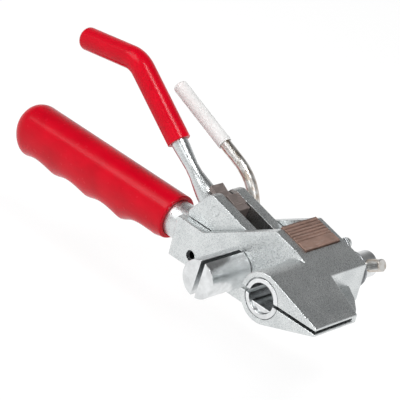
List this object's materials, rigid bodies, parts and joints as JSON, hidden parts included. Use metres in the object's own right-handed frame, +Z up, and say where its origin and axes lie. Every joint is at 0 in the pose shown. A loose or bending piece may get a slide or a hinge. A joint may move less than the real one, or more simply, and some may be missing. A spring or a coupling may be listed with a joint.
{
  "type": "strapping band tensioner and cutter",
  "caption": "Hand ratchet tool that winds steel strapping band on a slotted spindle to tighten it and shears it with a lever-turned cutter in its slit nose.",
  "frame": {"origin": "on the winding spindle's axis, at the inner end of its barrel, next to the near cheek", "axes": "+X from the handle to the nose, -Y along the barrel towards its free end, +Z up"},
  "size_m": [0.2455, 0.0812, 0.0909],
  "materials": {
    "zinc_casting": "zinc plated, satin",
    "zinc_rod": "zinc plated, smooth",
    "turned_steel": "turned, smooth",
    "dark_steel": "oiled, dark",
    "phosphate": "brown phosphate, matt",
    "spring_steel": "drawn wire",
    "red_vinyl": "dip-coated, glossy",
    "white_vinyl": "sleeve, glossy"
  },
  "bodies": {
    "frame_body": {"body": "zinc_casting", "handle_tube": "zinc_rod", "main_grip": "red_vinyl", "handle_roll_pin": "dark_steel", "cutter_bush": "turned_steel", "holding_pawl_pin": "turned_steel", "holding_pawl_spring": "spring_steel", "spring_stud": "zinc_rod", "cutter_spring": "spring_steel"},
    "spindle": {"winding_spindle": "turned_steel", "ratchet_wheel": "dark_steel", "spindle_key": "turned_steel", "spindle_washer": "zinc_rod", "spindle_ring": "dark_steel"},
    "ratchet_lever": {"lever_yoke": "zinc_casting", "ratchet_lever_rod": "zinc_rod", "ratchet_lever_sleeve": "red_vinyl", "drive_pawl_pin": "turned_steel", "drive_pawl_spring": "spring_steel"},
    "drive_pawl": {"drive_pawl": "phosphate"},
    "holding_pawl": {"holding_pawl": "phosphate"},
    "cutter": {"cutter_shaft": "turned_steel", "cutter_lever_rod": "zinc_rod", "cutter_lever_sleeve": "white_vinyl"}
  },
  "joints": [
    {"name": "spindle_turn", "type": "hinge", "parent": "frame_body", "child": "spindle", "pos_m": [0, 0, 0], "axis": [0, -1, 0], "continuous": true},
    {"name": "lever_swing", "type": "hinge", "parent": "frame_body", "child": "ratchet_lever", "pos_m": [0, 0.0176, 0], "axis": [0, 1, 0], "range_deg": [0, 30]},
    {"name": "drive_pawl_pivot", "type": "hinge", "parent": "ratchet_lever", "child": "drive_pawl", "pos_m": [-0.0253, 0.0176, 0.0173], "axis": [0, 1, 0], "range_deg": [-4.5, 6], "stiffness_Nm_per_rad": 0.1, "springref_deg": -4.5, "deforming": ["drive_pawl_spring"]},
    {"name": "holding_pawl_press", "type": "hinge", "parent": "frame_body", "child": "holding_pawl", "pos_m": [0.02, 0.0176, 0.0229], "axis": [0, 1, 0], "range_deg": [-5, 7], "stiffness_Nm_per_rad": 0.15, "springref_deg": -5, "deforming": ["holding_pawl_spring"]},
    {"name": "cutter_swing", "type": "hinge", "parent": "frame_body", "child": "cutter", "pos_m": [0.0386, 0.0176, 0.0107], "axis": [0, -1, 0], "range_deg": [0, 44], "stiffness_Nm_per_rad": 0.4, "springref_deg": -22.92, "deforming": ["cutter_spring"]}
  ]
}
